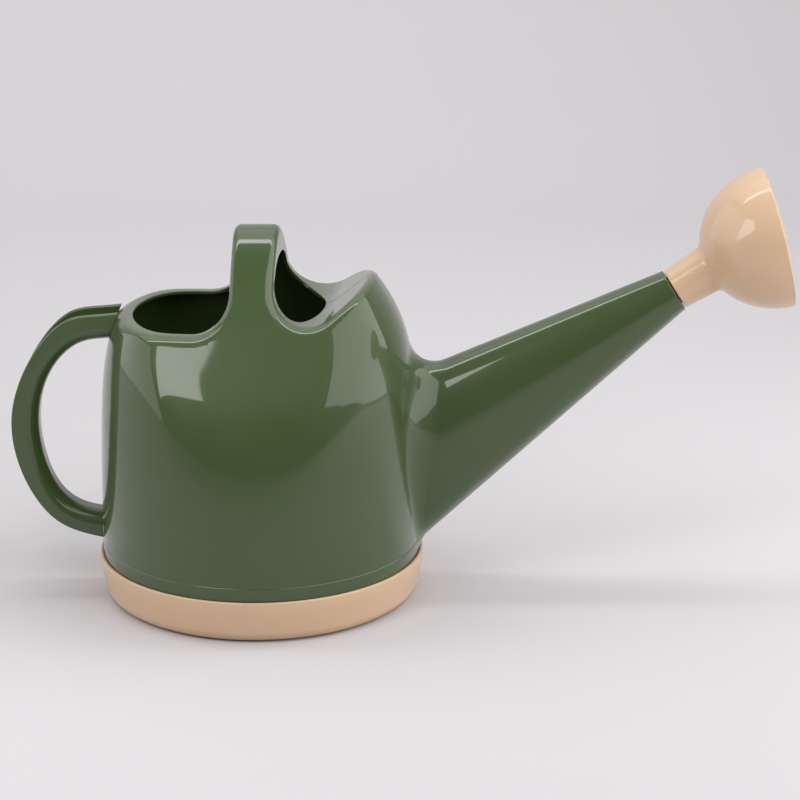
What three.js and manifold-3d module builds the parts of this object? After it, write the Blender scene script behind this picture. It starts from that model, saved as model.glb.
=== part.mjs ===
// Plastic watering can: a green tank with a long spout, a bridge grip over the filling mouth,
// a channel-shaped rear handle, a pale base cup and a pale turning rose that pulls off.
// Millimetres. The origin is on the floor under the tank's axis, +Z is up, +X points along
// the spout, and the XZ plane is the plane of symmetry.

import * as THREE from 'three';
import { mergeVertices } from 'three/addons/utils/BufferGeometryUtils.js';
import Module from 'manifold-3d';

const wasm = await Module();
wasm.setup();

// ---- Driving dimensions ----------------------------------------------------------------

const WALL = 2.5;
const GAP = 0.3;

const TANK_FLOOR_Z = 5;
const TANK_BASE_RADIUS = 98.4;
const ARCH_TOP_Z = 231.5;

const CUP_HEIGHT = 27;
const CUP_RADIUS = 101;
const CUP_FOOT_RADIUS = 91;
const CUP_FLOOR = 3;

const STRAP_BACK_X = -15;
const STRAP_FRONT_X = 15;
const BITE_RADIUS = 21.5;
const REAR_RIM_Z = 177.5;
const FRONT_RIM_Z = 182;
const SADDLE_SLOPE = THREE.MathUtils.degToRad(37);

const MOUTH = { back: -76.5, front: 40.5, halfWidthBack: 48.5, halfWidthFront: 52 };
const MOUTH_UNDERSIDE_Z = 215;

const HANDLE_WIDTH = 24;
const HANDLE_WALL = 3;

const SPOUT_TIP = { x: 253.4, z: 191.5 };
const SPOUT_ANGLE = THREE.MathUtils.degToRad(32.8);
const SPOUT_TIP_RADIUS = 13.6;
const SPOUT_LENGTH = 235;
const SPOUT_HEIGHT_GROWTH = 0.1745;
const SPOUT_WIDTH_GROWTH = 0.075;

const NECK_RADIUS = 9.2;
const NECK_BORE = 6.6;
const NECK_LENGTH = 17;

const COLLAR = { start: 0.5, end: 26, radiusStart: 13.1, radiusEnd: 14.7, bore: 9.7 };
const RING = { z: 9, width: 2, inner: 9.5, outer: 11.3 };

const BELL_RADIUS = 44;
const BELL_DEPTH = 47.5;
const BELL_WALL = 2.2;
const BELL_CENTRE = { x: 5.9, z: 69.4 };
const BELL_TILT = THREE.MathUtils.degToRad(18.2);

const FACE_RADIUS = 41;
const FACE_WALL = 2;
const FACE_DOME = 4.5;
const FACE_HOLE_RADIUS = 0.9;
const FACE_HOLE_RINGS = 4;
const FACE_RING_STEP = 8.4;

// ---- Materials -------------------------------------------------------------------------

const green = new THREE.MeshStandardMaterial({ color: 0x48602f, roughness: 0.22, metalness: 0 });
const cream = new THREE.MeshStandardMaterial({ color: 0xd9bd97, roughness: 0.4, metalness: 0 });
const rubber = new THREE.MeshStandardMaterial({ color: 0x1c1c1c, roughness: 0.8, metalness: 0 });

// ---- Solids ----------------------------------------------------------------------------

function solid(geometry) {
  const bare = geometry.index ? geometry.toNonIndexed() : geometry.clone();
  bare.deleteAttribute('normal');
  bare.deleteAttribute('uv');
  const merged = mergeVertices(bare, 1e-4);
  const corners = merged.index.array;
  const triangles = [];
  for (let i = 0; i < corners.length; i += 3) {
    const [a, b, c] = [corners[i], corners[i + 1], corners[i + 2]];
    if (a !== b && b !== c && c !== a) triangles.push(a, b, c);
  }
  const vertProperties = new Float32Array(merged.attributes.position.array);
  const built = (list) => new wasm.Manifold(
    new wasm.Mesh({ numProp: 3, vertProperties, triVerts: new Uint32Array(list) }),
  );
  const result = built(triangles);
  return result.volume() < 0 ? built(triangles.reverse()) : result;
}

function mesh(name, manifold, material) {
  const { vertProperties, triVerts } = manifold.getMesh();
  const geometry = new THREE.BufferGeometry();
  geometry.setAttribute('position', new THREE.BufferAttribute(new Float32Array(vertProperties), 3));
  geometry.setIndex(new THREE.BufferAttribute(new Uint32Array(triVerts), 1));
  const flat = geometry.toNonIndexed();
  flat.computeVertexNormals();
  const result = new THREE.Mesh(flat, material);
  result.name = name;
  return result;
}

// A ring or disc turned about +Z from [radius, z] points.
function turned(points, segments) {
  const profile = points.map(([radius, z]) => new THREE.Vector2(radius, z));
  const geometry = new THREE.LatheGeometry(profile, segments);
  geometry.rotateX(Math.PI / 2);
  return solid(geometry);
}

// A side-view outline in (x, z), extruded along Y from one half width to the other.
function acrossY(shape, halfWidth, curveSegments = 8) {
  const geometry = new THREE.ExtrudeGeometry(shape, {
    depth: 2 * halfWidth, bevelEnabled: false, curveSegments,
  });
  geometry.rotateX(Math.PI / 2);
  geometry.translate(0, halfWidth, 0);
  return solid(geometry);
}

// A front-view outline in (y, z), extruded along X.
function alongX(shape, from, to) {
  const geometry = new THREE.ExtrudeGeometry(shape, { depth: to - from, bevelEnabled: false });
  geometry.rotateX(Math.PI / 2);
  geometry.rotateZ(Math.PI / 2);
  geometry.translate(from, 0, 0);
  return solid(geometry);
}

// A plan outline in (x, y), extruded upwards.
function upwards(shape, from, to) {
  const geometry = new THREE.ExtrudeGeometry(shape, {
    depth: to - from, bevelEnabled: false, curveSegments: 14,
  });
  geometry.translate(0, 0, from);
  return solid(geometry);
}

// A closed body through rings of points, all with the same count, wound the same way.
function lofted(rings) {
  const count = rings[0].length;
  const points = rings.flat();
  const last = (rings.length - 1) * count;
  const triangles = [];
  for (let r = 0; r + 1 < rings.length; r += 1) {
    for (let i = 0; i < count; i += 1) {
      const a = r * count + i;
      const b = r * count + ((i + 1) % count);
      triangles.push(a, b, b + count, a, b + count, a + count);
    }
  }
  for (let i = 1; i + 1 < count; i += 1) {
    triangles.push(0, i + 1, i);
    triangles.push(last, last + i, last + i + 1);
  }
  const geometry = new THREE.BufferGeometry().setFromPoints(points);
  geometry.setIndex(triangles);
  return solid(geometry);
}

// ---- Tank ------------------------------------------------------------------------------

// The round plan at each height: nearly upright below, a shoulder that rounds in above.
function tankTurned(inset) {
  const points = [
    [0, TANK_FLOOR_Z + inset],
    [88 - inset, TANK_FLOOR_Z + inset],
    [94.5 - inset, TANK_FLOOR_Z + 3 + inset],
    [97.6 - inset, TANK_FLOOR_Z + 9 + inset],
    [TANK_BASE_RADIUS - inset, CUP_HEIGHT],
    [98.8 - inset, 56],
    [97.3 - inset, 115],
    [95.6 - inset, 138],
    [92.4 - inset, 158],
    [89.2 - inset, 169],
    [84.8 - inset, 180],
    [78.6 - inset, 191],
    [71 - inset, 202],
    [61 - inset, 213],
    [48 - inset, 225],
    [36 - inset, ARCH_TOP_Z + 5],
    [0, ARCH_TOP_Z + 5],
  ];
  return turned(points, 60);
}

// The front view: upright walls that lean in and close as an arch over the mouth.
function archOutline(inset) {
  const half = [
    [99.5, 0], [99, 60], [97.5, 90], [94.5, 110], [90, 127], [84, 140], [77, 152], [68.8, 165],
    [59, 179], [50, 190.5], [41, 201], [31, 212.5], [22, 222], [12, 228.8], [0, ARCH_TOP_Z],
  ];
  const curve = new THREE.SplineCurve(half.map(([y, z]) => new THREE.Vector2(y, z)));
  const right = curve.getPoints(24).map((point, i, all) => {
    const before = all[Math.max(i - 1, 0)];
    const after = all[Math.min(i + 1, all.length - 1)];
    const along = after.clone().sub(before).normalize();
    const moved = new THREE.Vector2(point.x - along.y * inset, point.y + along.x * inset);
    if (i === all.length - 1) moved.set(0, ARCH_TOP_Z - inset);
    return moved;
  });
  const left = right.slice(0, -1).reverse().map((point) => new THREE.Vector2(-point.x, point.y));
  return new THREE.Shape([...right, ...left]);
}

// The side view: a level rear rim, the strap between two rounded bites, and the closed saddle
// that climbs towards the spout until the round shoulder ends it in a crest.
function sideOutline(inset) {
  const outline = new THREE.Shape();
  const radius = BITE_RADIUS + inset;
  const back = STRAP_BACK_X - BITE_RADIUS;
  const front = STRAP_FRONT_X + BITE_RADIUS;
  const frontZ = FRONT_RIM_Z + BITE_RADIUS;
  const rearZ = REAR_RIM_Z + BITE_RADIUS;
  const slopeX = front + radius * Math.sin(SADDLE_SLOPE);
  const slopeZ = frontZ - radius * Math.cos(SADDLE_SLOPE);
  outline.moveTo(-120, 0);
  outline.lineTo(-120, REAR_RIM_Z - 1.5 - inset);
  outline.lineTo(back, REAR_RIM_Z - inset);
  outline.absarc(back, rearZ, radius, -Math.PI / 2, 0, false);
  outline.lineTo(STRAP_BACK_X + inset, ARCH_TOP_Z + 20);
  outline.lineTo(STRAP_FRONT_X - inset, ARCH_TOP_Z + 20);
  outline.lineTo(STRAP_FRONT_X - inset, frontZ);
  outline.absarc(front, frontZ, radius, Math.PI, 1.5 * Math.PI + SADDLE_SLOPE, false);
  outline.lineTo(120, slopeZ + (120 - slopeX) * Math.tan(SADDLE_SLOPE));
  outline.lineTo(120, 0);
  return outline;
}

function tankForm(inset) {
  return tankTurned(inset)
    .intersect(alongX(archOutline(inset), -120, 120))
    .intersect(acrossY(sideOutline(inset), 110));
}

// The filling mouth: one opening that runs on under the strap.
function mouthCut() {
  const plan = new THREE.Shape();
  const back = MOUTH.back + MOUTH.halfWidthBack;
  const frontHalfLength = 24.5;
  const front = MOUTH.front - frontHalfLength;
  plan.moveTo(back, MOUTH.halfWidthBack);
  plan.absarc(back, 0, MOUTH.halfWidthBack, Math.PI / 2, 1.5 * Math.PI, false);
  plan.lineTo(front, -MOUTH.halfWidthFront);
  plan.absellipse(front, 0, frontHalfLength, MOUTH.halfWidthFront, -Math.PI / 2, Math.PI / 2, false);
  const half = [[52, 160], [52, 186], [45, 193.5], [37, 201.5], [29, 208], [16, 213.5]];
  const left = [...half].reverse().map(([y, z]) => [-y, z]);
  const section = [...half, [0, MOUTH_UNDERSIDE_Z], ...left];
  const arch = new THREE.Shape(section.map(([y, z]) => new THREE.Vector2(y, z)));
  return upwards(plan, 155, ARCH_TOP_Z).intersect(alongX(arch, -90, 60));
}

// ---- Spout -----------------------------------------------------------------------------

// An upright oval at a distance back from the tip, square to the spout's axis.
function spoutRing(back, inset) {
  const halfHeight = SPOUT_TIP_RADIUS + SPOUT_HEIGHT_GROWTH * back - inset;
  const halfWidth = SPOUT_TIP_RADIUS + SPOUT_WIDTH_GROWTH * back - inset;
  const centreX = SPOUT_TIP.x - back * Math.cos(SPOUT_ANGLE);
  const centreZ = SPOUT_TIP.z - back * Math.sin(SPOUT_ANGLE);
  const points = [];
  const count = 28;
  for (let i = 0; i < count; i += 1) {
    const turn = (2 * Math.PI * i) / count;
    const up = halfHeight * Math.cos(turn);
    const across = halfWidth * Math.sin(turn);
    points.push(new THREE.Vector3(
      centreX - up * Math.sin(SPOUT_ANGLE), across, centreZ + up * Math.cos(SPOUT_ANGLE),
    ));
  }
  return points;
}

function spoutForm(inset, tipBack) {
  return lofted([spoutRing(SPOUT_LENGTH, inset), spoutRing(tipBack, inset)]);
}

// Puts a solid made about +Z, from the spout's tip, onto the spout's axis.
function onSpoutAxis(part) {
  return part.rotate([0, 90 - THREE.MathUtils.radToDeg(SPOUT_ANGLE), 0])
    .translate([SPOUT_TIP.x, 0, SPOUT_TIP.z]);
}

function neck() {
  return onSpoutAxis(turned([
    [NECK_BORE, -12], [SPOUT_TIP_RADIUS - 0.6, -12], [SPOUT_TIP_RADIUS - 0.05, -0.01],
    [NECK_RADIUS, -0.01], [NECK_RADIUS, NECK_LENGTH - 1], [NECK_RADIUS - 0.8, NECK_LENGTH],
    [NECK_BORE, NECK_LENGTH], [NECK_BORE, -12],
  ], 36));
}

// ---- Green mouldings -------------------------------------------------------------------

const tankOuter = tankForm(0);
const tankInner = tankForm(WALL);
const spoutBore = spoutForm(WALL, 10);
const spoutOuter = spoutForm(0, 0);

// The strap is parted from the shoulder by a level cut where its flanks leave the rims.
const STRAP_CUT_Z = 200;
const strapBlock = acrossY(new THREE.Shape([
  new THREE.Vector2(-30, STRAP_CUT_Z), new THREE.Vector2(30, STRAP_CUT_Z),
  new THREE.Vector2(30, 260), new THREE.Vector2(-30, 260),
]), 80);
const strapBlockLow = strapBlock.translate([0, 0, -GAP]);

// The shoulder is parted from the round wall by a level cut.
const SHOULDER_CUT_Z = 150;

const skin = tankOuter.subtract(tankInner).subtract(mouthCut());
const spoutHole = spoutForm(-GAP, 0).add(spoutBore);
const tankWall = skin.subtract(spoutHole);
const tankShell = tankWall.trimByPlane([0, 0, -1], -SHOULDER_CUT_Z);
const tankShoulder = tankWall.trimByPlane([0, 0, 1], SHOULDER_CUT_Z + GAP).subtract(strapBlockLow);
const bridgeGrip = skin.intersect(strapBlock);
const spout = spoutOuter.subtract(spoutBore).subtract(tankInner).add(neck());

// ---- Rear handle -----------------------------------------------------------------------

// Side view of the loop; the channel opens away from the hand side.
function handleOutline(grow, reach) {
  const outer = [[-80, 180.3], [-98, 178.6], [-115, 175.5], [-130, 163], [-142.5, 144], [-150.5, 122],
    [-151.8, 98], [-144.5, 71], [-129.5, 48.5], [-111, 38.3], [-92, 33.8]];
  const inner = [[-88, 50], [-106, 52.3], [-121, 60.5], [-131, 77.5], [-135.6, 99.5], [-134.8, 120],
    [-129, 138], [-119, 152], [-107, 159.8], [-94, 162], [-80, 163]];
  const centre = new THREE.Vector2(-92, 108);
  const pushed = ([x, z], by) => {
    const point = new THREE.Vector2(x, z);
    const away = point.clone().sub(centre).normalize();
    return point.add(away.multiplyScalar(by));
  };
  const outline = new THREE.Shape();
  const top = pushed(outer[0], reach);
  outline.moveTo(top.x, top.y);
  outline.splineThru(outer.slice(1).map((point) => pushed(point, reach)));
  const low = pushed(inner[0], grow);
  outline.lineTo(low.x, low.y);
  outline.splineThru(inner.slice(1).map((point) => pushed(point, grow)));
  return outline;
}

const handleBar = acrossY(handleOutline(0, 0), HANDLE_WIDTH / 2, 3);
const handleChannel = acrossY(handleOutline(HANDLE_WALL, 8), HANDLE_WIDTH / 2 - HANDLE_WALL, 3);
const rearHandle = handleBar.subtract(handleChannel).subtract(tankTurned(-GAP))
  .trimByPlane([-1, 0, 0], 78);

// ---- Base cup --------------------------------------------------------------------------

const baseCup = turned([
  [0, 0], [CUP_FOOT_RADIUS - 18, 0], [CUP_FOOT_RADIUS - 16, 1.2], [CUP_FOOT_RADIUS - 6, 1.2],
  [CUP_FOOT_RADIUS - 5, 0], [CUP_FOOT_RADIUS, 0], [CUP_FOOT_RADIUS + 3.2, 1.6],
  [CUP_FOOT_RADIUS + 5.8, 5], [CUP_FOOT_RADIUS + 7.9, 11], [CUP_RADIUS - 0.5, 19],
  [CUP_RADIUS, CUP_HEIGHT - 1], [CUP_RADIUS - 0.8, CUP_HEIGHT],
  [TANK_BASE_RADIUS + 0.5, CUP_HEIGHT], [TANK_BASE_RADIUS + 0.4, CUP_HEIGHT - 2],
  [98.1, TANK_FLOOR_Z + 9], [95, TANK_FLOOR_Z + 2.6], [88.2, CUP_FLOOR + 1], [0, CUP_FLOOR + 1],
], 60);

// ---- Rose ------------------------------------------------------------------------------

// The rose is made about +Z: z = 0 is the spout's tip. Its bell is tilted about Y.
function tilted(part) {
  return part.rotate([0, THREE.MathUtils.radToDeg(BELL_TILT), 0])
    .translate([BELL_CENTRE.x, 0, BELL_CENTRE.z]);
}

function bellForm(inset) {
  const points = [];
  const steps = 10;
  for (let i = 0; i <= steps; i += 1) {
    const turn = (Math.PI / 2) * (i / steps);
    points.push([(BELL_RADIUS - inset) * Math.sin(turn), -(BELL_DEPTH - inset) * Math.cos(turn)]);
  }
  const lip = inset > 0 ? 6 : 0;
  if (lip > 0) points.push([BELL_RADIUS - inset, lip]);
  points.push([0, lip]);
  return tilted(turned(points, 44));
}

const collarSleeve = turned([
  [0, COLLAR.start], [COLLAR.radiusStart, COLLAR.start], [COLLAR.radiusEnd, COLLAR.end],
  [COLLAR.radiusEnd + 0.5, COLLAR.end + 5], [0, COLLAR.end + 5],
], 36);
const collarBore = turned([[0, -1], [COLLAR.bore, -1], [COLLAR.bore, 45], [0, 45]], 36);
const ringGroove = turned([
  [COLLAR.bore - 1, RING.z - RING.width / 2 - GAP], [RING.outer + GAP, RING.z - RING.width / 2 - GAP],
  [RING.outer + GAP, RING.z + RING.width / 2 + GAP], [COLLAR.bore - 1, RING.z + RING.width / 2 + GAP],
  [COLLAR.bore - 1, RING.z - RING.width / 2 - GAP],
], 36);

const roseBell = bellForm(0).subtract(bellForm(BELL_WALL)).subtract(collarBore);
const roseCollar = collarSleeve.subtract(bellForm(-GAP)).subtract(collarBore).subtract(ringGroove);

function domeProfile(lift) {
  const points = [];
  const steps = 4;
  for (let i = 0; i <= steps; i += 1) {
    const part = i / steps;
    points.push([FACE_RADIUS * part, lift + FACE_DOME * (1 - part * part)]);
  }
  return points;
}

function rosePlate() {
  const under = domeProfile(-FACE_WALL).slice(0, -1);
  const over = domeProfile(0).reverse();
  const rim = [[FACE_RADIUS - 2, -7], [FACE_RADIUS, -7]];
  const plate = turned([...under, [FACE_RADIUS - 2, -FACE_WALL], ...rim, ...over], 36);
  const drill = turned([[0, -8], [FACE_HOLE_RADIUS, -8], [FACE_HOLE_RADIUS, 8], [0, 8]], 6);
  let holes = drill;
  for (let ring = 1; ring <= FACE_HOLE_RINGS; ring += 1) {
    for (let i = 0; i < 6 * ring; i += 1) {
      const turn = (2 * Math.PI * i) / (6 * ring);
      const reach = ring * FACE_RING_STEP;
      holes = holes.add(drill.translate([reach * Math.cos(turn), reach * Math.sin(turn), 0]));
    }
  }
  return tilted(plate.subtract(holes));
}

const roseRing = turned([
  [RING.inner, RING.z - RING.width / 2], [RING.outer, RING.z - RING.width / 2],
  [RING.outer, RING.z + RING.width / 2], [RING.inner, RING.z + RING.width / 2],
  [RING.inner, RING.z - RING.width / 2],
], 36);

// ---- The model -------------------------------------------------------------------------

const can = new THREE.Group();
can.add(
  mesh('tank_shell', tankShell, green),
  mesh('tank_shoulder', tankShoulder, green),
  mesh('bridge_grip', bridgeGrip, green),
  mesh('spout', spout, green),
  mesh('rear_handle', rearHandle, green),
  mesh('base_cup', baseCup, cream),
);

const rose = new THREE.Group();
rose.position.set(SPOUT_TIP.x, 0, SPOUT_TIP.z);
rose.rotation.y = Math.PI / 2 - SPOUT_ANGLE;
rose.add(
  mesh('rose_collar', roseCollar, cream),
  mesh('rose_bell', roseBell, cream),
  mesh('rose_face', rosePlate(), cream),
  mesh('rose_ring', roseRing, rubber),
);
can.add(rose);

export default can;
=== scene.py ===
"""A plastic watering can: a glossy green moulding with a bridge grip and a long spout, a channel
rear handle, a pale base cup, and a pale rose that turns on the spout's neck and pulls off it."""
import math

import bmesh
import bpy
import numpy as np
from mathutils.geometry import delaunay_2d_cdt
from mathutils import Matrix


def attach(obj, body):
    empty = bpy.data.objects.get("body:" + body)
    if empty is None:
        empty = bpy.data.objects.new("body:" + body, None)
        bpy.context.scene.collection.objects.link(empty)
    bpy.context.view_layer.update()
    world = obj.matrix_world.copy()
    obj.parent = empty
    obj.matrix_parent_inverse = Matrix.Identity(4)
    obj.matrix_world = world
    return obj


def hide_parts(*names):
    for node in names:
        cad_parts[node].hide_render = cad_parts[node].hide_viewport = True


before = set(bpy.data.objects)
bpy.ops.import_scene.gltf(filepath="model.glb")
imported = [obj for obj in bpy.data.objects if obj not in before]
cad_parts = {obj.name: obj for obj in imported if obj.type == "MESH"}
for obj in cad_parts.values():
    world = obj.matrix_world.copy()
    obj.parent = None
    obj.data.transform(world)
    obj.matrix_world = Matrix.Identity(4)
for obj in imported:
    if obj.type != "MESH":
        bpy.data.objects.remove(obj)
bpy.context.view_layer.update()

MM = 0.001

# ---- Sizes of the can, in millimetres -----------------------------------------------------------

WALL = 2.5
EDGE = 0.8
GREEN_CELL = 2.27
ROSE_CELL = 1.3

FLOOR_Z = 5
FLOOR_CORNER = 14
STEP_Z = 35
STEP_HEIGHT = 0.35
SHOULDER_BLEND = 14
RIM_ROUND = 4.5
LAND = 8.5
SEAM_WIDTH = 0.45
SEAM_DEPTH = 0.28

STRAP_BACK = -13.6
STRAP_BACK_SKEW = 0.03
STRAP_FRONT = 14.2
STRAP_FRONT_SKEW = 0.085
BITE_RADIUS = 21.5
REAR_RIM_Z = 177.5
REAR_RIM_FALL = 0.018
FRONT_RIM_Z = 182
SADDLE_SLOPE = math.radians(37)
GRIP_UNDERSIDE_Z = 214.4
GRIP_BLEND = 14
MOUTH_BLEND = 10
MOUTH_LOW_Z = 150
MOUTH_X = -20
MOUTH_HALF_LENGTH = 61
MOUTH_HALF_WIDTH = 66

TIP_X, TIP_Z = 253.4, 191.5
SPOUT_ANGLE = math.radians(32.8)
TIP_RADIUS = 13.6
HEIGHT_GROWTH = 0.1745
WIDTH_GROWTH = 0.075
SPOUT_MIDDLE = 115
SPOUT_HALF_LENGTH = 120
ROOT_LOW = 5
ROOT_TOP = 20

NECK_RADIUS = 9.2
NECK_BORE = 6.6
NECK_LENGTH = 17

CUP_RADIUS = 101
CUP_HEIGHT = 27

BELL_RADIUS = 43.4
BELL_DEPTH = 47.5
BELL_X, BELL_Z = 5.4, 69.6
BELL_TILT = math.radians(18.2)
BELL_WALL = 2.2
COLLAR_START = 0.5
COLLAR_RADIUS = 13.1
COLLAR_GROWTH = 0.063
COLLAR_BORE = 9.7
COLLAR_MIDDLE = 25
COLLAR_HALF_LENGTH = 28
COLLAR_FILLET = 2.5
GROOVE_DEPTH = 1.9
GROOVE_HALF_WIDTH = 1.7
RING_Z = 9

PLATE_RADIUS = 40.5
PLATE_WALL = 2
PLATE_DOME = 4.5
HOLE_RADIUS = 0.9
HOLE_RINGS = 4
HOLE_STEP = 8.4

HANDLE_WIDTH = 24
HANDLE_WALL = 3


# ---- Curves and distances -----------------------------------------------------------------------

class Curve:
    """An open uniform cubic B-spline in a plane, steered by a few points or passing through them."""

    def __init__(self, points, through=False):
        points = np.array(points, float)
        if through:
            points = self.pulled(points)
        self.spans = len(points) - 1
        self.points = np.vstack([2 * points[0] - points[1], points, 2 * points[-1] - points[-2]])
        self.guesses = np.linspace(0, self.spans, 10 * self.spans + 1)
        self.samples = self.at(self.guesses)

    @staticmethod
    def pulled(points):
        """The control points of a curve that passes through these points."""
        count = len(points)
        weights = np.eye(count)
        for i in range(1, count - 1):
            weights[i, i - 1:i + 2] = (1 / 6, 4 / 6, 1 / 6)
        return np.linalg.solve(weights, points)

    def at(self, place, order=0):
        """The points at these places along the curve, or its first or second derivative."""
        span = np.clip(np.floor(place).astype(int), 0, self.spans - 1)
        u = place - span
        if order == 0:
            weights = ((1 - u) ** 3, 3 * u**3 - 6 * u**2 + 4, -3 * u**3 + 3 * u**2 + 3 * u + 1, u**3)
        elif order == 1:
            weights = (-3 * (1 - u) ** 2, 9 * u**2 - 12 * u, -9 * u**2 + 6 * u + 3, 3 * u**2)
        else:
            weights = (6 * (1 - u), 18 * u - 12, 6 - 18 * u, 6 * u)
        return sum(w[:, None] * self.points[span + k] for k, w in enumerate(weights)) / 6

    def distance(self, a, b):
        """How far each (a, b) lies to the right of the curve, as one looks along it."""
        target = np.column_stack([a, b])
        place = np.empty(len(target))
        chunk = 20000
        for start in range(0, len(target), chunk):
            part = target[start:start + chunk]
            apart = (part[:, :1] - self.samples[:, 0]) ** 2 + (part[:, 1:] - self.samples[:, 1]) ** 2
            place[start:start + chunk] = self.guesses[apart.argmin(axis=1)]
        for _ in range(4):
            away = self.at(place) - target
            slope = self.at(place, 1)
            bend = self.at(place, 2)
            rate = (slope * slope).sum(1) + (away * bend).sum(1)
            step = (away * slope).sum(1) / np.maximum(rate, 1e-3)
            place = np.clip(place - np.clip(step, -0.1, 0.1), 0, self.spans)
        slope = self.at(place, 1)
        away = target - self.at(place)
        return (slope[:, 1] * away[:, 0] - slope[:, 0] * away[:, 1]) / np.hypot(slope[:, 0], slope[:, 1])


def mirrored(half):
    """A symmetric outline from the half on its positive side, the last point being on the axis."""
    return half + [(-a, b) for a, b in half[-2::-1]]


def ease(x):
    """A smooth step from 0 to 1 as x goes from 0 to 1."""
    x = np.clip(x, 0, 1)
    return x * x * (3 - 2 * x)


def blend_max(a, b, width):
    """The larger of two distances, with the crease between them melted over a width."""
    overlap = np.maximum(width - np.abs(a - b), 0) / width
    return np.maximum(a, b) + overlap**3 * width / 6


def round_max(a, b, radius):
    """Where both shapes hold, with a radius on the edge between them."""
    outside = np.hypot(np.maximum(a + radius, 0), np.maximum(b + radius, 0))
    return np.minimum(np.maximum(a, b), -radius) + outside


def oval_distance(a, b, half_a, half_b):
    """Roughly how far (a, b) lies outside an oval."""
    reach = np.hypot(a / half_a, b / half_b)
    slope = np.hypot(a / half_a**2, b / half_b**2)
    return (reach - 1) * reach / (slope + 1e-9)


def gradient(distance, points):
    """The slope of a distance at each point."""
    reach = 0.02
    columns = []
    for axis in np.eye(3):
        columns.append((distance(points + reach * axis) - distance(points - reach * axis)) / (2 * reach))
    return np.column_stack(columns)


def unit(vectors):
    """Each vector at length 1."""
    return vectors / np.maximum(np.linalg.norm(vectors, axis=1, keepdims=True), 1e-12)


def settle(points, distance, rounds):
    """Moves the points onto the surface where the distance is 0."""
    for _ in range(rounds):
        slope = gradient(distance, points)
        points = points - slope * (distance(points) / (slope**2).sum(1))[:, None]
    return points


# ---- The green moulding's form ------------------------------------------------------------------

# The round plan at each height, as (radius, z): nearly upright, then a shoulder that rounds in.
TURNED = Curve([
    (97.9, 0), (98.9, 42.8), (98.5, 85.7), (97, 128.2), (91.9, 171.6), (68.2, 208.1), (35.8, 236.3),
])

# The front view, as (y, z): upright walls that lean in and close as an arch over the mouth.
ARCH = Curve(mirrored([
    (110, 0), (104.5, 44.5), (99.4, 90), (90.5, 133.3), (63.5, 173.2), (39, 205.2), (0, 245.4),
]))


def bite(u, z, floor_z, slope):
    """The air beside the strap: right of a wall at u = 0, above a floor that climbs away from it."""
    du = u - BITE_RADIUS
    dz = z - floor_z - BITE_RADIUS
    floor = dz * math.cos(slope) - du * math.sin(slope) + BITE_RADIUS
    below = -dz / math.cos(slope)
    in_corner = (below > 0) & (below * math.sin(slope) > du)
    return np.where(in_corner, BITE_RADIUS - np.hypot(du, dz), np.minimum(u, floor))


def turned_wall(p):
    """Distance outside the round wall, which steps out a little low down."""
    step = STEP_HEIGHT * ease((STEP_Z - p[:, 2]) / 0.6 + 0.5)
    return TURNED.distance(np.hypot(p[:, 0], p[:, 1]), p[:, 2]) - step


def outer_wall(p):
    """Distance outside the whole rounded body, as if nothing were bitten out of it."""
    return blend_max(turned_wall(p), ARCH.distance(p[:, 1], p[:, 2]), SHOULDER_BLEND)


def tank(p):
    """Distance outside the tank, its strap and its saddle."""
    x, y, z = p.T
    behind = STRAP_BACK + STRAP_BACK_SKEW * y - x
    fall = REAR_RIM_FALL * (BITE_RADIUS - STRAP_BACK + x)
    rear = bite(behind, z + fall, REAR_RIM_Z, 0)
    before = x - STRAP_FRONT - STRAP_FRONT_SKEW * y
    front = bite(before, z, FRONT_RIM_Z, SADDLE_SLOPE)
    body = round_max(outer_wall(p), np.maximum(rear, front), RIM_ROUND)
    return round_max(body, FLOOR_Z - z, FLOOR_CORNER)


def spout(p):
    """Distance outside the spout, an upright oval cone."""
    x, y, z = p.T
    dx = x - TIP_X
    dz = z - TIP_Z
    back = -(dx * math.cos(SPOUT_ANGLE) + dz * math.sin(SPOUT_ANGLE))
    up = dz * math.cos(SPOUT_ANGLE) - dx * math.sin(SPOUT_ANGLE)
    half_height = np.maximum(TIP_RADIUS + HEIGHT_GROWTH * back, 4)
    half_width = np.maximum(TIP_RADIUS + WIDTH_GROWTH * back, 4)
    sides = oval_distance(up, y, half_height, half_width)
    return np.maximum(sides, np.abs(back - SPOUT_MIDDLE) - SPOUT_HALF_LENGTH)


def green_form(p):
    """Distance outside the green moulding, with the spout's root faired in and a seam on the saddle."""
    x, y, z = p.T
    root = ROOT_LOW + (ROOT_TOP - ROOT_LOW) * ease((z - 40) / 100)
    body = -round_max(-tank(p), -spout(p), root)
    seam = np.exp(-(y / SEAM_WIDTH) ** 2) * ease((x - 25) / 5) * ease((95 - x) / 20)
    return body + SEAM_DEPTH * seam * ease((z - 150) / 10)


def green_openings(p):
    """Distance outside the mouth and beyond the spout's tip; both are cut away."""
    x, y, z = p.T
    inner = blend_max(outer_wall(p) + LAND, z - GRIP_UNDERSIDE_Z, GRIP_BLEND)
    plan = oval_distance(x - MOUTH_X, y, MOUTH_HALF_LENGTH, MOUTH_HALF_WIDTH)
    mouth = np.maximum(blend_max(inner, plan, MOUTH_BLEND), MOUTH_LOW_Z - z)
    tip = (TIP_X - x) * math.cos(SPOUT_ANGLE) + (TIP_Z - z) * math.sin(SPOUT_ANGLE)
    return np.minimum(mouth, tip)


# ---- Mesh making --------------------------------------------------------------------------------

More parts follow.
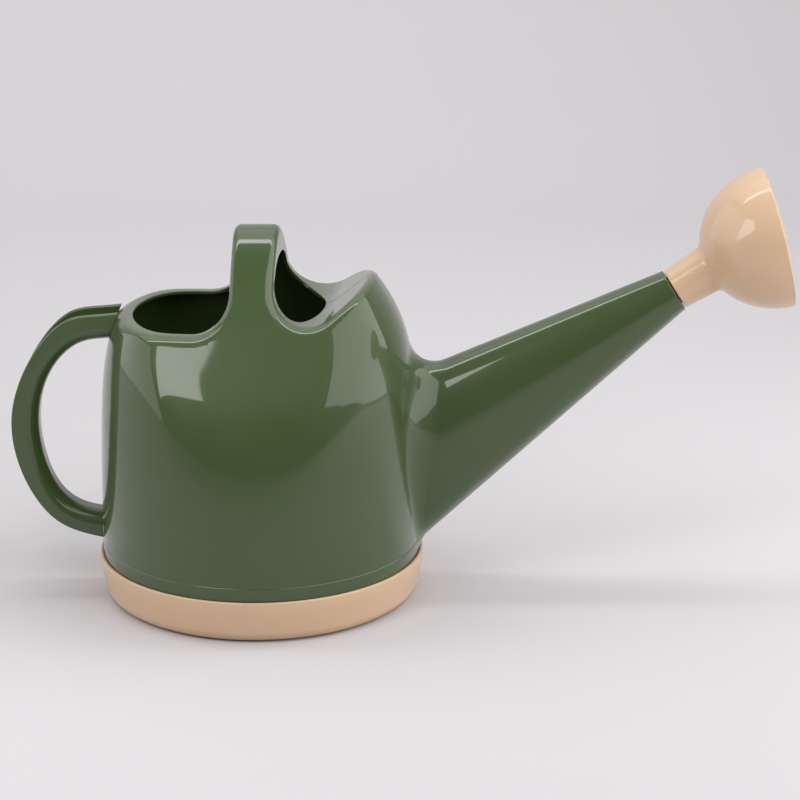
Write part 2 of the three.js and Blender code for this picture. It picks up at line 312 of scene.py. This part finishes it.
def surface_net(distance, low, high, cell):
    """Quads over the surface where the distance is 0, with one corner in each grid cell it crosses."""
    block = 4
    low = np.array(low, float)
    blocks = np.ceil((np.array(high) - low) / (cell * block)).astype(int)
    centres = low + (np.indices(blocks).reshape(3, -1).T + 0.5) * cell * block
    coarse = distance(centres).reshape(blocks)
    values = np.sign(coarse)
    near = np.abs(coarse) < 1.2 * cell * block
    for axis in range(3):
        values = values.repeat(block, axis)
        near = near.repeat(block, axis)
    values[near] = distance(low + np.argwhere(near) * cell)
    inside = values < 0

    nx, ny, nz = inside.shape
    filled = np.zeros((nx - 1, ny - 1, nz - 1), int)
    for dx, dy, dz in np.ndindex(2, 2, 2):
        filled += inside[dx:nx - 1 + dx, dy:ny - 1 + dy, dz:nz - 1 + dz]
    crossed = (filled > 0) & (filled < 8)
    cells = np.argwhere(crossed)
    number = np.full(crossed.shape, -1)
    number[crossed] = np.arange(len(cells))

    total = np.zeros((len(cells), 3))
    hits = np.zeros(len(cells))
    for axis in range(3):
        along = np.eye(3, dtype=int)[axis]
        for side in np.ndindex(2, 2):
            start = cells + np.insert(side, axis, 0)
            first = values[tuple(start.T)]
            last = values[tuple((start + along).T)]
            hit = (first < 0) != (last < 0)
            part = first[hit] / (first[hit] - last[hit])
            total[hit] += start[hit] + part[:, None] * along
            hits[hit] += 1
    points = low + total / hits[:, None] * cell

    faces = []
    for axis in range(3):
        along, side_b, side_c = np.roll(np.eye(3, dtype=int), -axis, axis=0)
        first = np.take(inside, range(inside.shape[axis] - 1), axis)
        last = np.take(inside, range(1, inside.shape[axis]), axis)
        edges = np.argwhere(first != last)
        edges = edges[(edges @ side_b > 0) & (edges @ side_c > 0)]
        ring = [edges, edges - side_b, edges - side_b - side_c, edges - side_c]
        quads = np.column_stack([number[tuple(corner.T)] for corner in ring])
        outward = first[tuple(edges.T)]
        quads[~outward] = quads[~outward][:, ::-1]
        faces.append(quads)
    return points, np.vstack(faces)


def border_edges(faces):
    """The edges that only one face has, each in that face's direction."""
    seen = {}
    for face in faces:
        for a, b in zip(face, np.roll(face, -1)):
            seen[(a, b)] = True
    return np.array([(a, b) for a, b in seen if (b, a) not in seen]).reshape(-1, 2)


def pruned(points, faces):
    """Drops the points that no face uses."""
    used, renumbered = np.unique(faces, return_inverse=True)
    return points[used], renumbered.reshape(faces.shape)


def neighbour_mean(points, edges):
    """The mean of each point's neighbours along these edges, or the point itself if it has none."""
    total = np.zeros_like(points)
    count = np.zeros(len(points))
    for a, b in (edges.T, edges.T[::-1]):
        np.add.at(total, a, points[b])
        np.add.at(count, a, 1)
    mean = points.copy()
    has = count > 0
    mean[has] = total[has] / count[has][:, None]
    return mean


def trimmed_skin(form, openings, low, high, cell):
    """The surface of a form less its openings, with even quads and clean borders EDGE short of them."""
    points, faces = surface_net(form, low, high, cell)
    points = settle(points, form, 2)
    centres = points[faces].mean(axis=1)
    faces = faces[openings(centres) > EDGE]
    points, faces = pruned(points, faces)
    rim = border_edges(faces)
    border = np.unique(rim)
    sides = np.vstack([faces[:, [k, (k + 1) % 4]] for k in range(4)])
    sides = np.unique(np.sort(sides, axis=1), axis=0)
    for _ in range(5):
        moved = 0.5 * (points + neighbour_mean(points, sides))
        moved[border] = 0.5 * (points + neighbour_mean(points, rim))[border]
        points = settle(moved, form, 1)
        for _ in range(2):
            points[border] = settle(points[border], lambda p: openings(p) - EDGE, 1)
            points[border] = settle(points[border], form, 1)
    return settle(points, form, 1), faces


def sliced(points, faces, planes):
    """Cuts the faces near each plane along it; a plane is a point, a normal and a test of which faces."""
    mesh = bpy.data.meshes.new("sliced")
    mesh.from_pydata(points.tolist(), [], faces.tolist())
    work = bmesh.new()
    work.from_mesh(mesh)
    for point, normal, wanted in planes:
        near = [f for f in work.faces if wanted(f.calc_center_median())]
        parts = set(near)
        for face in near:
            parts.update(face.edges)
            parts.update(face.verts)
        bmesh.ops.bisect_plane(work, geom=list(parts), plane_co=point, plane_no=normal, dist=0.02)
    work.verts.index_update()
    points = np.array([v.co for v in work.verts])
    faces = [[v.index for v in f.verts] for f in work.faces]
    work.free()
    bpy.data.meshes.remove(mesh)
    return points, faces


def thickened(points, faces, normals, inner, inner_normals, edge=EDGE):
    """A closed wall from a skin and its inner side, with a rounded edge along each open border."""
    count = len(points)
    all_points = [points, inner]
    all_normals = [normals, inner_normals]
    all_faces = [list(face) for face in faces]
    all_faces += [[count + i for i in reversed(face)] for face in faces]
    rim = border_edges(faces)
    border = np.unique(rim)
    if len(border):
        place = np.full(count, -1)
        place[border] = np.arange(len(border))
        along = np.zeros((count, 3))
        np.add.at(along, rim[:, 0], points[rim[:, 1]] - points[rim[:, 0]])
        np.add.at(along, rim[:, 1], points[rim[:, 1]] - points[rim[:, 0]])
        outer_n = normals[border]
        inner_n = inner_normals[border]
        outward = unit(np.cross(along[border], outer_n))
        rings = [border]
        base = 2 * count
        arcs = [(points[border] - edge * outer_n, outer_n, (1, 2, 3, 4))]
        arcs.append((inner[border] - edge * inner_n, inner_n, (4, 3, 2, 1)))
        for centre, normal, steps in arcs:
            for step in steps:
                turn = step * math.pi / 8
                direction = normal * math.cos(turn) + outward * math.sin(turn)
                all_points.append(centre + edge * direction)
                all_normals.append(direction)
                rings.append(base + np.arange(len(border)))
                base += len(border)
        rings.append(border + count)
        for a, b in place[rim]:
            for near, far in zip(rings, rings[1:]):
                all_faces.append([near[b], near[a], far[a], far[b]])
    return np.vstack(all_points), all_faces, np.vstack(all_normals)


def rounded_outline(corners, closed=True):
    """Points and normals round an outline of (a, b, radius) corners; its outside is on the right."""
    corners = np.array(corners, float)
    count = len(corners)
    places = []
    normals = []
    for i in range(count):
        here = corners[i, :2]
        before = corners[(i - 1) % count, :2]
        after = corners[(i + 1) % count, :2]
        if not closed and i in (0, count - 1):
            way = after - here if i == 0 else here - before
            way = way / np.hypot(*way)
            places.append(here)
            normals.append((way[1], -way[0]))
            continue
        came = (here - before) / np.hypot(*(here - before))
        goes = (after - here) / np.hypot(*(after - here))
        turn = math.atan2(came[0] * goes[1] - came[1] * goes[0], came @ goes)
        radius = corners[i, 2]
        reach = radius * math.tan(abs(turn) / 2)
        start = here - reach * came
        normal = np.array([came[1], -came[0]])
        centre = start - math.copysign(radius, turn) * normal
        steps = max(2, round(abs(turn) / math.radians(11)))
        for k in range(steps + 1):
            angle = turn * k / steps
            direction = np.array([
                normal[0] * math.cos(angle) - normal[1] * math.sin(angle),
                normal[0] * math.sin(angle) + normal[1] * math.cos(angle),
            ])
            places.append(centre + math.copysign(radius, turn) * direction)
            normals.append(direction)
    return np.array(places), np.array(normals)


def turned_piece(corners, segments, closed=True):
    """A body turned about Z from its (radius, z, corner radius) outline; an open one ends on the axis."""
    outline, outline_normals = rounded_outline(corners, closed)
    points = []
    normals = []
    for turn in 2 * math.pi * np.arange(segments) / segments:
        c, s = math.cos(turn), math.sin(turn)
        for plane, around in ((outline, points), (outline_normals, normals)):
            around.append(np.column_stack([plane[:, 0] * c, plane[:, 0] * s, plane[:, 1]]))
    count = len(outline)
    faces = []
    for i in range(segments):
        j = (i + 1) % segments
        for k in range(count if closed else count - 1):
            m = (k + 1) % count
            faces.append([i * count + k, j * count + k, j * count + m, i * count + m])
    points = np.vstack(points)
    normals = np.vstack(normals)
    if not closed:
        keep = np.arange(len(points))
        for end in (0, count - 1):
            keep[np.arange(segments) * count + end] = end
        faces = [unrepeated([keep[i] for i in face]) for face in faces]
        used = np.unique(np.concatenate([np.array(f) for f in faces]))
        renumber = np.full(len(points), -1)
        renumber[used] = np.arange(len(used))
        faces = [[renumber[i] for i in face] for face in faces]
        points, normals = points[used], normals[used]
    return points, faces, normals


def unrepeated(face):
    """A face without corners that came together."""
    return [a for a, b in zip(face, face[1:] + face[:1]) if a != b]


def from_spout_axis(points):
    """Points or directions made about +Z, turned onto the spout's axis."""
    c, s = math.cos(SPOUT_ANGLE), math.sin(SPOUT_ANGLE)
    x, y, z = points.T
    return np.column_stack([x * s + z * c, y, z * s - x * c])


def added(name, data):
    """A new object in the scene that holds this mesh, camera or lamp."""
    obj = bpy.data.objects.new(name, data)
    bpy.context.scene.collection.objects.link(obj)
    return obj


def piece(name, points, faces, normals, material, body, slot, replaced=()):
    mesh = bpy.data.meshes.new(name)
    mesh.from_pydata((np.asarray(points) * MM).tolist(), [], [[int(i) for i in face] for face in faces])
    mesh.polygons.foreach_set("use_smooth", [True] * len(mesh.polygons))
    mesh.normals_split_custom_set_from_vertices(unit(np.asarray(normals)).tolist())
    mesh.materials.append(material)
    obj = added(name, mesh)
    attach(obj, body)
    if replaced:
        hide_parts(*replaced)
    return obj


def axis_piece(name, points, faces, normals, *declared):
    """A piece that was made about +Z, put onto the spout's axis with its origin on the tip."""
    tip = np.array([TIP_X, 0, TIP_Z])
    return piece(name, from_spout_axis(points) + tip, faces, from_spout_axis(normals), *declared)


# ---- Materials ----------------------------------------------------------------------------------

def moulded_plastic(name, colour, shade, roughness, skin, grain_size, grain_depth):
    """Moulded plastic or rubber: a soft sheen under a polished skin, with faint clouds and a fine grain."""
    material = bpy.data.materials.new(name)
    material.use_nodes = True
    nodes = material.node_tree.nodes
    link = material.node_tree.links.new
    shader = nodes["Principled BSDF"]
    shader.inputs["IOR"].default_value = 1.5
    shader.inputs["Specular IOR Level"].default_value = 0.25
    shader.inputs["Coat Weight"].default_value = skin
    shader.inputs["Coat Roughness"].default_value = 0.05
    shader.inputs["Coat IOR"].default_value = 1.5
    place = nodes.new("ShaderNodeTexCoord")

    clouds = nodes.new("ShaderNodeTexNoise")
    clouds.inputs["Scale"].default_value = 14
    clouds.inputs["Detail"].default_value = 5
    link(place.outputs["Object"], clouds.inputs["Vector"])
    tint = nodes.new("ShaderNodeMix")
    tint.data_type = "RGBA"
    tint.inputs["A"].default_value = (*colour, 1)
    tint.inputs["B"].default_value = (*shade, 1)
    link(clouds.outputs["Fac"], tint.inputs["Factor"])
    link(tint.outputs["Result"], shader.inputs["Base Color"])

    handled = nodes.new("ShaderNodeTexNoise")
    handled.inputs["Scale"].default_value = 55
    handled.inputs["Detail"].default_value = 6
    link(place.outputs["Object"], handled.inputs["Vector"])
    gloss = nodes.new("ShaderNodeMapRange")
    gloss.inputs["From Min"].default_value = 0.3
    gloss.inputs["From Max"].default_value = 0.7
    gloss.inputs["To Min"].default_value = roughness * 0.88
    gloss.inputs["To Max"].default_value = roughness * 1.15
    link(handled.outputs["Fac"], gloss.inputs["Value"])
    link(gloss.outputs["Result"], shader.inputs["Roughness"])

    grain = nodes.new("ShaderNodeTexNoise")
    grain.inputs["Scale"].default_value = 1 / (grain_size * MM)
    grain.inputs["Detail"].default_value = 2
    link(place.outputs["Object"], grain.inputs["Vector"])
    peel = nodes.new("ShaderNodeBump")
    peel.inputs["Strength"].default_value = 1
    peel.inputs["Distance"].default_value = grain_depth * MM
    link(grain.outputs["Fac"], peel.inputs["Height"])
    link(peel.outputs["Normal"], shader.inputs["Normal"])
    return material


GREEN = moulded_plastic("green_plastic", colour=(0.038, 0.068, 0.016), shade=(0.045, 0.079, 0.020),
                        roughness=0.38, skin=1, grain_size=5, grain_depth=0.004)
CREAM = moulded_plastic("cream_plastic", colour=(0.64, 0.435, 0.272), shade=(0.68, 0.47, 0.305),
                        roughness=0.42, skin=0.7, grain_size=3, grain_depth=0.004)
RUBBER = moulded_plastic("seal_rubber", colour=(0.012, 0.012, 0.012), shade=(0.02, 0.02, 0.02),
                         roughness=0.7, skin=0, grain_size=0.6, grain_depth=0.02)


# ---- Pieces -------------------------------------------------------------------------------------

def tank_skin():
    """Tank, bridge grip and spout in one wall."""
    points, faces = trimmed_skin(green_form, green_openings, (-104, -104, 0), (272, 104, 236), GREEN_CELL)
    planes = []
    for dz in (-0.35, -0.12, 0.12, 0.35):
        planes.append(((0, 0, STEP_Z + dz), (0, 0, 1), lambda c: abs(c.z - STEP_Z) < 4))
    for dy in (-0.9, -0.45, 0, 0.45, 0.9):
        planes.append(((0, dy, 0), (0, 1, 0), lambda c: abs(c.y) < 4 and 25 < c.x < 100 and c.z > 150))
    points, faces = sliced(points, faces, planes)
    points = settle(points, green_form, 1)
    normals = unit(gradient(green_form, points))
    return piece("tank_skin", *thickened(points, faces, normals, points - WALL * normals, -normals),
                 GREEN, "can", "green_plastic", ("tank_shell", "tank_shoulder", "bridge_grip", "spout"))


def spout_neck():
    """The plug in the spout's end and the neck that the rose turns on."""
    plug = TIP_RADIUS - WALL - 0.05
    points, faces, normals = turned_piece([
        (NECK_BORE, -6, 0.3), (plug, -6, 0.3), (plug, -0.3, 0.2), (NECK_RADIUS, -0.3, 0.5),
        (NECK_RADIUS, NECK_LENGTH, 0.8), (NECK_BORE, NECK_LENGTH, 0.4),
    ], 96)
    return axis_piece("spout_neck", points, faces, normals, GREEN, "can", "green_plastic")


def cup_shell():
    """The pale cup that the tank stands in."""
    points, faces, normals = turned_piece([
        (0, 0, 0), (73, 0, 0.6), (75, 1.2, 0.6), (85, 1.2, 0.6), (86, 0, 0.5), (97.4, 0, 8.5),
        (100.9, 22, 30), (CUP_RADIUS - 0.05, CUP_HEIGHT, 0.9), (98.95, CUP_HEIGHT, 0.6),
        (98.75, 4.2, 14), (0, 4.2, 0),
    ], 240, closed=False)
    return piece("cup_shell", points, faces, normals, CREAM, "can", "cream_plastic", ("base_cup",))


def handle_loop():
    """The rear handle: a channel that opens away from the hand, faired along two curves."""
    outer = Curve([
        (-80, 180.3), (-98, 178.6), (-115, 175.5), (-130, 163), (-142.5, 144), (-150.5, 122),
        (-151.8, 98), (-144.5, 71), (-129.5, 48.5), (-111, 38.3), (-92, 33.8),
    ], through=True)
    inner = Curve([
        (-80, 163), (-94, 162), (-107, 159.8), (-119, 152), (-129, 138), (-134.8, 120),
        (-135.6, 99.5), (-131, 77.5), (-121, 60.5), (-106, 52.3), (-88, 50),
    ], through=True)
    half = HANDLE_WIDTH / 2
    stations = np.linspace(0, outer.spans, 161)
    outside, inside = outer.at(stations), inner.at(stations)
    way = inner.at(stations, 1) + outer.at(stations, 1)
    rings = []
    ring_normals = []
    for top, base, along in zip(outside, inside, way):
        depth = np.hypot(*(top - base))
        up = (top - base) / depth
        section, section_normals = rounded_outline([
            (-half, depth, 1.2), (-half, 0, 9), (half, 0, 9), (half, depth, 1.2),
            (half - HANDLE_WALL, depth, 1.2), (half - HANDLE_WALL, HANDLE_WALL, 6),
            (HANDLE_WALL - half, HANDLE_WALL, 6), (HANDLE_WALL - half, depth, 1.2),
        ])
        rings.append(np.column_stack([
            base[0] + up[0] * section[:, 1], section[:, 0], base[1] + up[1] * section[:, 1]]))
        flat = np.column_stack([
            up[0] * section_normals[:, 1], section_normals[:, 0], up[1] * section_normals[:, 1]])
        forward = np.array([along[0], 0, along[1]]) / np.hypot(*along)
        ring_normals.append(unit(flat - (flat @ forward)[:, None] * forward))
    rings = np.array(rings)
    rings, ring_normals = fitted_ends(rings, np.array(ring_normals))
    count = rings.shape[1]
    faces = []
    for i in range(len(rings) - 1):
        for k in range(count):
            m = (k + 1) % count
            faces.append([i * count + k, (i + 1) * count + k, (i + 1) * count + m, i * count + m])
    faces.append(list(range(count)))
    faces.append([(len(rings) - 1) * count + k for k in reversed(range(count))])
    return piece("handle_loop", rings.reshape(-1, 3), faces, ring_normals.reshape(-1, 3),
                 GREEN, "can", "green_plastic", ("rear_handle",))


def fitted_ends(rings, normals):
    """Trims each line of the handle where it meets the tank's round wall."""
    gap = turned_wall(rings.reshape(-1, 3)).reshape(rings.shape[:2]) - 0.15
    lines = []
    line_normals = []
    for k in range(rings.shape[1]):
        free = np.flatnonzero(gap[:, k] > 0)
        first, last = free[0], free[-1]
        places = np.arange(len(rings), dtype=float)
        start = first - gap[first, k] / (gap[first, k] - gap[first - 1, k])
        end = last + gap[last, k] / (gap[last, k] - gap[last + 1, k])
        spread = start + (end - start) * np.arange(len(rings)) / (len(rings) - 1)
        lines.append(np.column_stack([np.interp(spread, places, rings[:, k, a]) for a in range(3)]))
        line_normals.append(
            np.column_stack([np.interp(spread, places, normals[:, k, a]) for a in range(3)]))
    return np.array(lines).transpose(1, 0, 2), np.array(line_normals).transpose(1, 0, 2)


def bell_places(p):
    """Distance from the bell's axis and the place along it, in the rose's own frame."""
    x = p[:, 0] - BELL_X
    z = p[:, 2] - BELL_Z
    along = x * math.sin(BELL_TILT) + z * math.cos(BELL_TILT)
    across = x * math.cos(BELL_TILT) - z * math.sin(BELL_TILT)
    return np.hypot(across, p[:, 1]), along


def bell(p):
    """Distance outside the bell's oval."""
    radius, along = bell_places(p)
    return oval_distance(radius, along, BELL_RADIUS, BELL_DEPTH)


def rose_form(p):
    """Distance outside the bell and its collar."""
    collar = np.hypot(p[:, 0], p[:, 1]) - COLLAR_RADIUS - COLLAR_GROWTH * (p[:, 2] - COLLAR_START)
    collar = np.maximum(collar, np.abs(p[:, 2] - COLLAR_MIDDLE) - COLLAR_HALF_LENGTH)
    return -round_max(-bell(p), -collar, COLLAR_FILLET)


def rose_openings(p):
    """The collar starts and the bell ends at a plane."""
    return np.minimum(p[:, 2] - COLLAR_START, -bell_places(p)[1])


def rose_shell():
    """Bell and collar in one wall, with the seal's groove in the collar's bore."""
    points, faces = trimmed_skin(rose_form, rose_openings, (-52, -52, -8), (60, 52, 122), ROSE_CELL)
    normals = unit(gradient(rose_form, points))
    within = points - BELL_WALL * normals
    groove = GROOVE_DEPTH * ease((GROOVE_HALF_WIDTH - np.abs(points[:, 2] - RING_Z)) / 0.5)
    reach = np.hypot(points[:, 0], points[:, 1])
    around = points * (1, 1, 0) / reach[:, None]
    bore = around * (COLLAR_BORE + groove)[:, None] + points * (0, 0, 1)
    share = ease(bell(points) / 4)[:, None]
    inner = within * (1 - share) + bore * share
    inner_normals = unit(-normals * (1 - share) - around * share)
    closed = thickened(points, faces, normals, inner, inner_normals, 0.7)
    return axis_piece("rose_shell", *closed, CREAM, "rose", "cream_plastic", ("rose_collar", "rose_bell"))


def from_bell_axis(points):
    """Points or directions made about the bell's axis, turned into the rose's own frame."""
    c, s = math.cos(BELL_TILT), math.sin(BELL_TILT)
    x, y, z = points.T
    return np.column_stack([x * c + z * s, y, z * c - x * s])


def circle(radius, x, y, count):
    """Points round a circle, anticlockwise."""
    turns = 2 * math.pi * np.arange(count) / count
    return np.column_stack([x + radius * np.cos(turns), y + radius * np.sin(turns)])


def rose_plate():
    """The domed perforated face: its holes lie in rings round one in the middle."""
    holes = [(0.0, 0.0)]
    for ring in range(1, HOLE_RINGS + 1):
        for i in range(6 * ring):
            turn = 2 * math.pi * i / (6 * ring)
            holes.append((ring * HOLE_STEP * math.cos(turn), ring * HOLE_STEP * math.sin(turn)))
    edge = 0.3
    loops = [circle(PLATE_RADIUS - edge, 0, 0, 120)]
    loops += [circle(HOLE_RADIUS + edge, x, y, 14) for x, y in holes]
    filling = np.vstack([circle(ring * 1.5, 0, 0, 6 * ring) for ring in range(1, 28)])
    filling = filling[np.hypot(*filling.T) < PLATE_RADIUS - 1.4]
    for x, y in holes:
        filling = filling[np.hypot(filling[:, 0] - x, filling[:, 1] - y) > HOLE_RADIUS + 0.9]
    ground = np.vstack(loops + [filling])
    edges = []
    base = 0
    for loop in loops:
        edges += [(base + k, base + (k + 1) % len(loop)) for k in range(len(loop))]
        base += len(loop)
    corners, _, triangles, _, _, _ = delaunay_2d_cdt(ground.tolist(), edges, [], 0, 1e-4)
    corners = np.array(corners)
    faces = np.array([t for t in triangles if len(t) == 3])
    middle = corners[faces].mean(axis=1)
    keep = np.hypot(*middle.T) < PLATE_RADIUS - edge
    for x, y in holes:
        keep &= np.hypot(middle[:, 0] - x, middle[:, 1] - y) > HOLE_RADIUS + 0.5 * edge
    faces = faces[keep]
    corners, faces = pruned(corners, faces)
    a, b, c = (corners[faces[:, k]] for k in range(3))
    turn = (b - a)[:, 0] * (c - a)[:, 1] - (b - a)[:, 1] * (c - a)[:, 0]
    faces[turn < 0] = faces[turn < 0][:, ::-1]
    reach = np.hypot(*corners.T)
    points = np.column_stack([corners, PLATE_DOME * (1 - (reach / PLATE_RADIUS) ** 2)])
    slope = 2 * PLATE_DOME / PLATE_RADIUS**2
    normals = unit(np.column_stack([slope * corners, np.ones(len(corners))]))
    inner = points - PLATE_WALL * normals
    points, faces, normals = thickened(points, faces, normals, inner, -normals, edge)
    centre = np.array([BELL_X, 0, BELL_Z])
    return axis_piece("rose_plate", from_bell_axis(points) + centre, faces, from_bell_axis(normals),
                      CREAM, "rose", "cream_plastic", ("rose_face",))


def seal_ring():
    """The rubber ring in the collar's groove."""
    points, faces, normals = turned_piece([
        (9.45, RING_Z - 0.95, 0.8), (11.3, RING_Z - 0.95, 0.8),
        (11.3, RING_Z + 0.95, 0.8), (9.45, RING_Z + 0.95, 0.8),
    ], 96)
    return axis_piece("seal_ring", points, faces, normals,
                      RUBBER, "rose_ring", "seal_rubber", ("rose_ring",))


# ---- Camera, floor and light --------------------------------------------------------------------

def camera():
    """A long lens in front of the can, a little above it."""
    data = bpy.data.cameras.new("camera")
    data.lens = 108
    data.sensor_width = 36
    obj = added("camera", data)
    obj.location = (0.0865, -1.4125, 0.5646)
    obj.rotation_euler = (math.radians(72.57), 0, 0)
    bpy.context.scene.camera = obj


def sweep():
    """A pale paper sweep: floor, a wide bend and an upright back."""
    bend = 0.6
    back = 1.0
    steps = 24
    side = [(-2.2, 0.0), (-1.2, 0.0), (0.0, 0.0)]
    for k in range(steps + 1):
        turn = math.pi / 2 * k / steps
        side.append((back + bend * math.sin(turn), bend * (1 - math.cos(turn))))
    side.append((back + bend, 2.4))
    points = [(x, y, z) for y, z in side for x in (-2.5, 2.5)]
    faces = [(2 * i, 2 * i + 1, 2 * i + 3, 2 * i + 2) for i in range(len(side) - 1)]
    mesh = bpy.data.meshes.new("sweep")
    mesh.from_pydata(points, [], faces)
    mesh.polygons.foreach_set("use_smooth", [True] * len(faces))
    paper = bpy.data.materials.new("paper")
    paper.use_nodes = True
    shader = paper.node_tree.nodes["Principled BSDF"]
    shader.inputs["Base Color"].default_value = (0.60, 0.585, 0.60, 1)
    shader.inputs["Roughness"].default_value = 0.9
    shader.inputs["Specular IOR Level"].default_value = 0.1
    mesh.materials.append(paper)
    added("sweep", mesh)


def bearing(azimuth, elevation, distance):
    """A place at a bearing from the can's middle: 0 is in front of it and 90 is on its right."""
    azimuth = math.radians(azimuth)
    elevation = math.radians(elevation)
    level = distance * math.cos(elevation)
    height = 0.12 + distance * math.sin(elevation)
    return (level * math.sin(azimuth), -level * math.cos(azimuth), height)


def light_panel(name, corners, brightness):
    """A flat soft light with these corners, which no camera sees."""
    mesh = bpy.data.meshes.new(name)
    mesh.from_pydata(corners, [], [tuple(range(len(corners)))])
    glow = bpy.data.materials.new(name)
    glow.use_nodes = True
    nodes = glow.node_tree.nodes
    nodes.clear()
    emission = nodes.new("ShaderNodeEmission")
    emission.inputs["Strength"].default_value = brightness
    output = nodes.new("ShaderNodeOutputMaterial")
    glow.node_tree.links.new(emission.outputs["Emission"], output.inputs["Surface"])
    mesh.materials.append(glow)
    obj = added(name, mesh)
    obj.visible_camera = False


def back_light(place, target, width, height, power):
    """A wide soft lamp above the can that washes the upright back of the sweep."""
    data = bpy.data.lights.new("back_light", "AREA")
    data.shape = "RECTANGLE"
    data.size = width
    data.size_y = height
    data.energy = power
    obj = added("back_light", data)
    obj.location = place
    rise = math.atan2(target[2] - place[2], target[1] - place[1])
    obj.rotation_euler = (math.pi / 2 + rise, 0, 0)
    obj.visible_camera = False


def surroundings():
    """A dim room all round."""
    world = bpy.data.worlds.new("room")
    world.use_nodes = True
    background = world.node_tree.nodes["Background"]
    background.inputs["Color"].default_value = (0.75, 0.73, 0.75, 1)
    background.inputs["Strength"].default_value = 0.25
    bpy.context.scene.world = world


camera()
tank_skin()
spout_neck()
handle_loop()
cup_shell()
rose_shell()
rose_plate()
seal_ring()
sweep()
surroundings()
light_panel("left_panel", [
    (-0.45, -0.37, 0.245), (-0.09, -0.46, 0.45), (-0.06, -0.335, 0.59), (-0.2, -0.27, 0.595),
], brightness=5)
light_panel("right_panel", [
    bearing(22, 22, 1.3),
    bearing(50, 6, 1.3),
    bearing(80, -6, 1.0),
    bearing(112, -7, 0.9),
    bearing(120, 45, 1.3),
    bearing(6, 58, 1.3),
], brightness=2.1)
light_panel("left_wall", [
    (-1.5, -0.9, 0.02), (-1.5, 1.2, 0.02), (-1.5, 1.2, 1.6), (-1.5, -0.9, 1.6),
], brightness=1.3)
light_panel("top_panel", [
    (-1.5, 0.1, 2.2), (1.7, 0.1, 2.2), (1.7, 1.5, 2.0), (-1.5, 1.5, 2.0),
], brightness=1.3)
back_light(place=(0.09, 0.2, 2.0), target=(0.09, 1.6, 1.1), width=2.6, height=0.5, power=24)
bpy.context.scene.view_settings.view_transform = "Standard"
